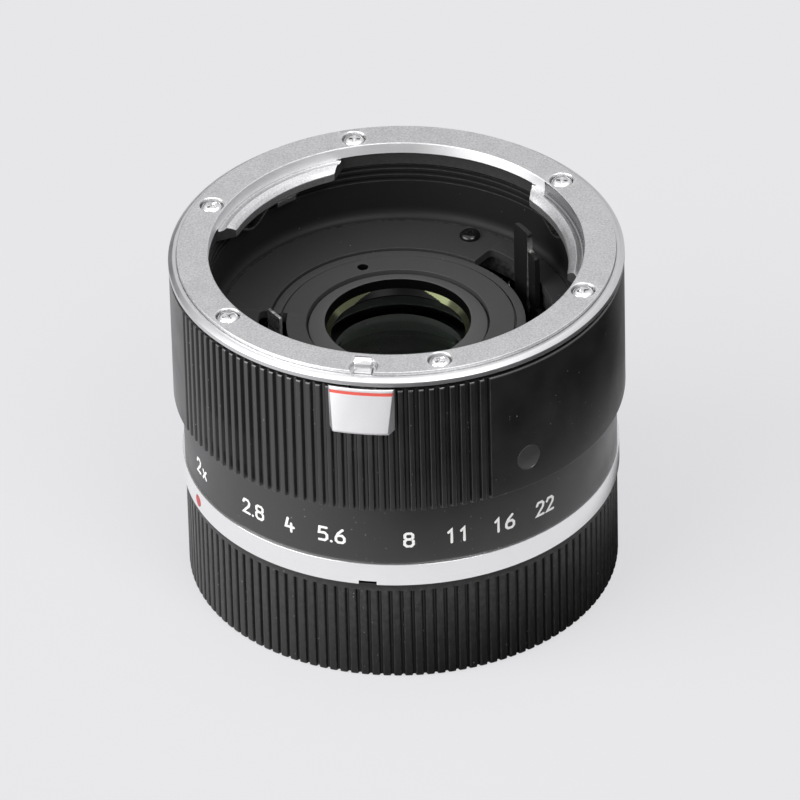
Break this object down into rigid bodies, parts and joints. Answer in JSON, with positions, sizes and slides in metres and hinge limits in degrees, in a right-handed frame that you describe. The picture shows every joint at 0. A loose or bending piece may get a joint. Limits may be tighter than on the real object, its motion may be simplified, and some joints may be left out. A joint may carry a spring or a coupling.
{
  "type": "camera teleconverter",
  "caption": "Round black camera teleconverter with bright bayonet flanges, a ribbed grip, a release button and a central lens cell, standing on its ribbed rear cap.",
  "frame": {"origin": "centre of the rear cap's underside, on the optical axis", "axes": "+Z along the optical axis towards the lens side, the release button faces -Y"},
  "size_m": [0.0656, 0.0674, 0.0549],
  "materials": {
    "barrel": "satin black anodised",
    "inner_black": "matt black paint",
    "bright_chrome": "satin chrome plate",
    "bright_screw": "polished plate",
    "black_screw": "blackened steel",
    "spring_steel": "dark spring steel",
    "lever_metal": "worn matt black",
    "coated_glass": "coated lens glass",
    "red_enamel": "red enamel fill",
    "cap_plastic": "moulded black plastic"
  },
  "bodies": {
    "converter": {"grip_sleeve": "barrel", "side_plug": "barrel", "inner_housing": "inner_black", "light_trap_liner": "inner_black", "baffle_plate": "inner_black", "lens_cell": "inner_black", "front_retaining_ring": "inner_black", "front_spacer": "inner_black", "middle_spacer": "inner_black", "rear_spacer": "inner_black", "rear_retaining_ring": "inner_black", "cell_lock_ring": "inner_black", "rear_baffle": "inner_black", "ring_spacer": "inner_black", "ring_retainer": "inner_black", "front_bayonet_ring": "bright_chrome", "front_trim_ring": "bright_chrome", "rear_bayonet": "bright_chrome", "front_flange_screws": "bright_screw", "rear_bayonet_screws": "bright_screw", "baffle_plate_screws": "black_screw", "rear_baffle_screws": "black_screw", "leaf_spring_screws": "black_screw", "sleeve_set_screw": "black_screw", "leaf_springs": "spring_steel", "stop_down_spring": "spring_steel", "follower_spring": "spring_steel", "release_spring": "spring_steel", "front_element": "coated_glass", "second_element": "coated_glass", "doublet_front": "coated_glass", "doublet_rear": "coated_glass", "fifth_element": "coated_glass", "rear_element": "coated_glass", "rear_index_dot": "red_enamel"},
    "release": {"release_button": "bright_chrome", "release_index_line": "red_enamel", "lock_pin": "bright_chrome"},
    "stop_down": {"stop_down_ring": "lever_metal", "stop_down_front_lever": "lever_metal", "stop_down_rear_lever": "lever_metal"},
    "follower": {"follower_ring": "lever_metal", "follower_finger": "lever_metal", "follower_cam": "lever_metal"},
    "cap": {"rear_cap": "cap_plastic"}
  },
  "joints": [
    {"name": "release_press", "type": "slide", "parent": "converter", "child": "release", "axis": [0, 0, -1], "range_m": [0, 0.0022], "stiffness_N_per_m": 700, "springref_m": -0.003, "deforming": ["release_spring"]},
    {"name": "stop_down_turn", "type": "hinge", "parent": "converter", "child": "stop_down", "pos_m": [0, 0, 0.03565], "axis": [0, 0, 1], "range_deg": [-28, 0], "stiffness_Nm_per_rad": 0.02, "springref_deg": 17.19, "deforming": ["stop_down_spring"]},
    {"name": "follower_turn", "type": "hinge", "parent": "converter", "child": "follower", "pos_m": [0, 0, 0.03185], "axis": [0, 0, 1], "range_deg": [0, 40], "stiffness_Nm_per_rad": 0.01, "springref_deg": -17.19, "deforming": ["follower_spring"]},
    {"name": "rear_cap_pull", "type": "slide", "parent": "cap", "child": "converter", "axis": [0, 0, 1], "range_m": [0, 0.03]}
  ]
}
